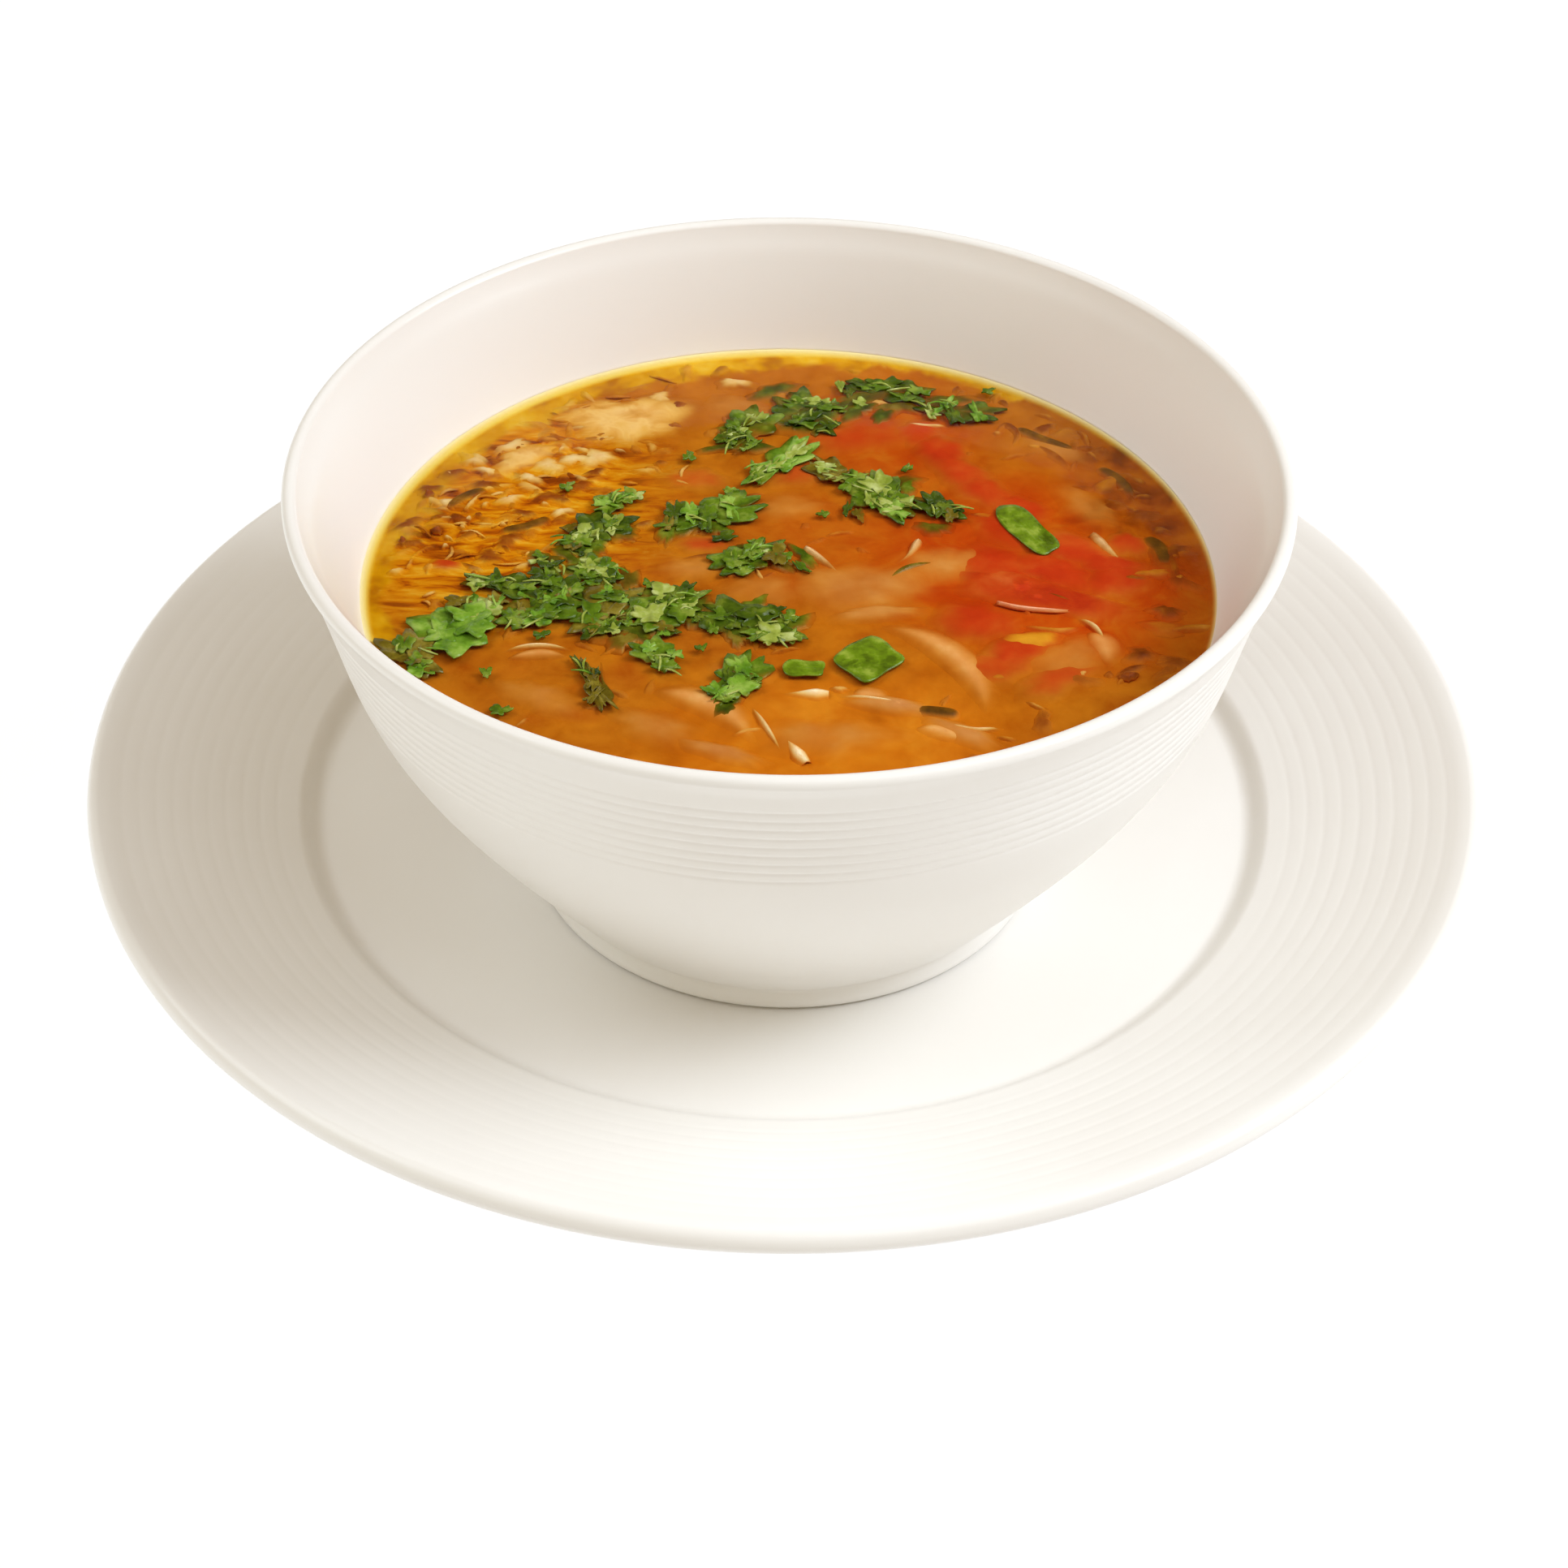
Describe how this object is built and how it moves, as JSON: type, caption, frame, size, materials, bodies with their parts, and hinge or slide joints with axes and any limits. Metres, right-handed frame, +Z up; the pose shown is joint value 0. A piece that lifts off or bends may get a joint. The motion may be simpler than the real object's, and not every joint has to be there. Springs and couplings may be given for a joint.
{
  "type": "bowl of vegetable soup",
  "caption": "Flared white porcelain bowl of clear orange vegetable soup with chopped parsley, onion, tomato and potato, standing on a matching wide-rimmed plate.",
  "frame": {"origin": "middle of the plate's foot ring, on the surface that it stands on", "axes": "+Z up, -Y towards the diner's side that the picture shows, +X to the right"},
  "size_m": [0.24, 0.24, 0.0847],
  "materials": {
    "porcelain": "gloss",
    "broth": "polished",
    "potato": "satin",
    "tomato": "gloss",
    "onion": "gloss",
    "browned_onion": "satin",
    "scallion": "satin",
    "parsley": "satin"
  },
  "bodies": {
    "root": {"plate": "porcelain", "bowl": "porcelain", "soup": "broth", "parsley_01": "parsley", "parsley_02": "parsley", "parsley_03": "parsley", "parsley_04": "parsley", "parsley_05": "parsley", "parsley_06": "parsley", "parsley_07": "parsley", "parsley_08": "parsley", "parsley_09": "parsley", "parsley_10": "parsley", "parsley_11": "parsley", "parsley_12": "parsley", "parsley_13": "parsley", "parsley_14": "parsley", "parsley_15": "parsley", "parsley_16": "parsley", "parsley_17": "parsley", "parsley_18": "parsley", "parsley_19": "parsley", "parsley_20": "parsley", "parsley_21": "parsley", "parsley_22": "parsley", "parsley_23": "parsley", "parsley_24": "parsley", "scallion_1": "scallion", "scallion_2": "scallion", "scallion_3": "scallion", "onion_01": "onion", "onion_02": "onion", "onion_03": "onion", "onion_04": "onion", "onion_05": "onion", "onion_06": "onion", "onion_07": "onion", "onion_08": "onion", "onion_09": "onion", "onion_10": "onion", "onion_11": "onion", "browned_onion_1": "browned_onion", "browned_onion_2": "browned_onion", "browned_onion_3": "browned_onion", "browned_onion_4": "browned_onion", "browned_onion_5": "browned_onion", "browned_onion_6": "browned_onion", "potato": "potato", "potato_scrap": "potato", "tomato": "tomato"}
  },
  "joints": []
}
